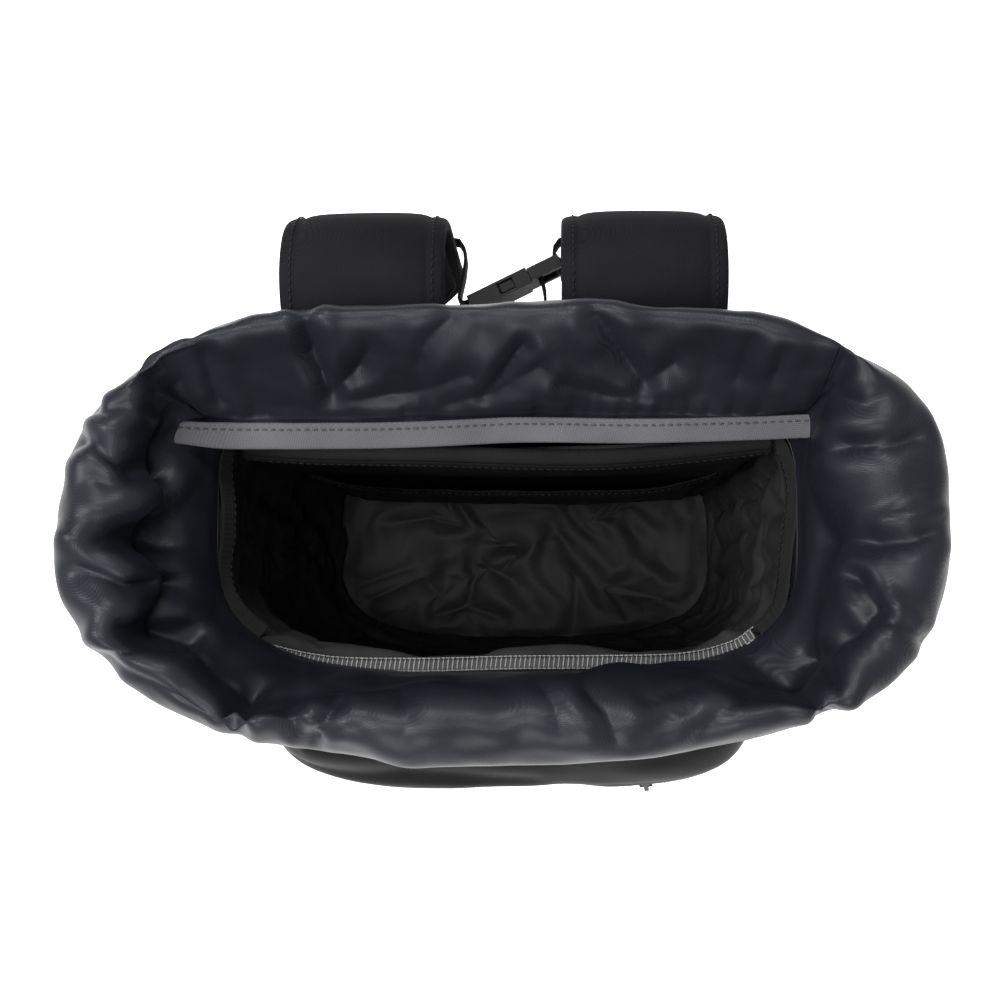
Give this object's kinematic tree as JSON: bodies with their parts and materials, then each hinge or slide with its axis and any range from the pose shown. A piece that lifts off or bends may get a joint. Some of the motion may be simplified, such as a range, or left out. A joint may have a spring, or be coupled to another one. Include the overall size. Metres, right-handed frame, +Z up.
{
  "type": "roll-top backpack",
  "caption": "Soft roll-top backpack standing open, collar turned out into a cuff, with padded straps, sternum buckle, side pockets and a zipped front pocket.",
  "frame": {"origin": "centre of the underside of the base, on the surface the bag stands on", "axes": "+Z up through the mouth, +Y towards the wearer's back and the shoulder straps, -Y the front pocket, +X to the right seen from the front pocket"},
  "size_m": [0.3681, 0.2748, 0.4785],
  "materials": {
    "coated_cloth": "coated woven nylon, smooth, slightly glossy",
    "collar_nylon": "thin dark twill nylon with a silky sheen",
    "lining_cloth": "thin woven lining, matt",
    "dark_tape": "woven binding tape",
    "strap_cloth": "matt woven cloth over foam",
    "spacer_mesh": "open spacer mesh over foam",
    "stretch_cloth": "stretch woven cloth",
    "grey_tape": "grey twill tape",
    "webbing": "narrow woven webbing",
    "acetal": "moulded acetal, satin",
    "zip_metal": "black-lacquered die-cast zinc"
  },
  "bodies": {
    "pack": {"base_panel": "coated_cloth", "front_panel": "coated_cloth", "side_panel_left": "coated_cloth", "side_panel_right": "coated_cloth", "front_pocket": "coated_cloth", "base_tab_left": "coated_cloth", "base_tab_right": "coated_cloth", "collar_right": "collar_nylon", "collar_back": "collar_nylon", "collar_left": "collar_nylon", "collar_front": "collar_nylon", "lining_back": "lining_cloth", "lining_left": "lining_cloth", "lining_front": "lining_cloth", "lining_right": "lining_cloth", "lining_floor": "lining_cloth", "slip_pocket": "lining_cloth", "laptop_sleeve": "lining_cloth", "seam_binding_left": "dark_tape", "seam_binding_right": "dark_tape", "collar_hem": "dark_tape", "back_panel": "strap_cloth", "shoulder_strap_left": "strap_cloth", "shoulder_strap_right": "strap_cloth", "back_pad_left": "spacer_mesh", "back_pad_right": "spacer_mesh", "lumbar_pad": "spacer_mesh", "side_pocket_left": "stretch_cloth", "side_pocket_right": "stretch_cloth", "side_pocket_hem_left": "webbing", "side_pocket_hem_right": "webbing", "strap_anchor_left": "webbing", "strap_anchor_right": "webbing", "sternum_rail_left": "webbing", "sternum_rail_right": "webbing", "strap_loop_left": "webbing", "strap_loop_right": "webbing", "lower_web_left": "webbing", "lower_web_right": "webbing", "haul_strip": "webbing", "zip_tape": "webbing", "zip_coil": "webbing"},
    "zip_slider": {"zip_slider": "zip_metal"},
    "zip_pull": {"zip_pull": "zip_metal"},
    "sternum_gear": {"sternum_slider_left": "acetal", "sternum_slider_right": "acetal", "sternum_web_left": "webbing", "sternum_web_right": "webbing", "sternum_male": "acetal"},
    "sternum_release": {"sternum_female": "acetal"},
    "ladder_left": {"ladder_lock_left": "acetal"},
    "ladder_right": {"ladder_lock_right": "acetal"},
    "haul": {"haul_loop": "webbing"},
    "flap": {"laptop_flap": "collar_nylon", "flap_binding": "grey_tape"},
    "closure_left": {"closure_tab_left": "webbing", "closure_male": "acetal"},
    "closure_right": {"closure_tab_right": "webbing", "closure_female": "acetal"}
  },
  "joints": [
    {"name": "zip_run", "type": "slide", "parent": "pack", "child": "zip_slider", "axis": [0, 0, 1], "range_m": [-0.193, 0]},
    {"name": "zip_pull_swing", "type": "hinge", "parent": "zip_slider", "child": "zip_pull", "pos_m": [0.06632, -0.11724, 0.3026], "axis": [-0.9947, -0.1028, 0], "range_deg": [0, 160]},
    {"name": "sternum_height", "type": "slide", "parent": "pack", "child": "sternum_gear", "axis": [0, 0, 1], "range_m": [-0.04, 0.02]},
    {"name": "sternum_release", "type": "slide", "parent": "sternum_gear", "child": "sternum_release", "axis": [-0.8988, -0.4384, 0], "range_m": [0, 0.022], "deforming": ["sternum_web_left", "sternum_male"]},
    {"name": "ladder_tilt_left", "type": "hinge", "parent": "pack", "child": "ladder_left", "pos_m": [-0.08, 0.125, 0.1575], "axis": [1, 0, 0], "range_deg": [-25, 25], "deforming": ["lower_web_left", "strap_loop_left"]},
    {"name": "ladder_tilt_right", "type": "hinge", "parent": "pack", "child": "ladder_right", "pos_m": [0.08, 0.125, 0.1575], "axis": [1, 0, 0], "range_deg": [-25, 25], "deforming": ["lower_web_right", "strap_loop_right"]},
    {"name": "haul_swing", "type": "hinge", "parent": "pack", "child": "haul", "pos_m": [0, 0.08334, 0.412], "axis": [1, 0, 0], "range_deg": [0, 95]},
    {"name": "flap_lift", "type": "hinge", "parent": "pack", "child": "flap", "pos_m": [0, 0.0735, 0.456], "axis": [-1, 0, 0], "range_deg": [0, 42]},
    {"name": "closure_swing_left", "type": "hinge", "parent": "pack", "child": "closure_left", "pos_m": [-0.1805, 0, 0.4052], "axis": [0, 1, 0], "range_deg": [-20, 95], "deforming": ["closure_tab_left"]},
    {"name": "closure_swing_right", "type": "hinge", "parent": "pack", "child": "closure_right", "pos_m": [0.1805, 0, 0.4052], "axis": [0, -1, 0], "range_deg": [-20, 95], "deforming": ["closure_tab_right"]}
  ]
}
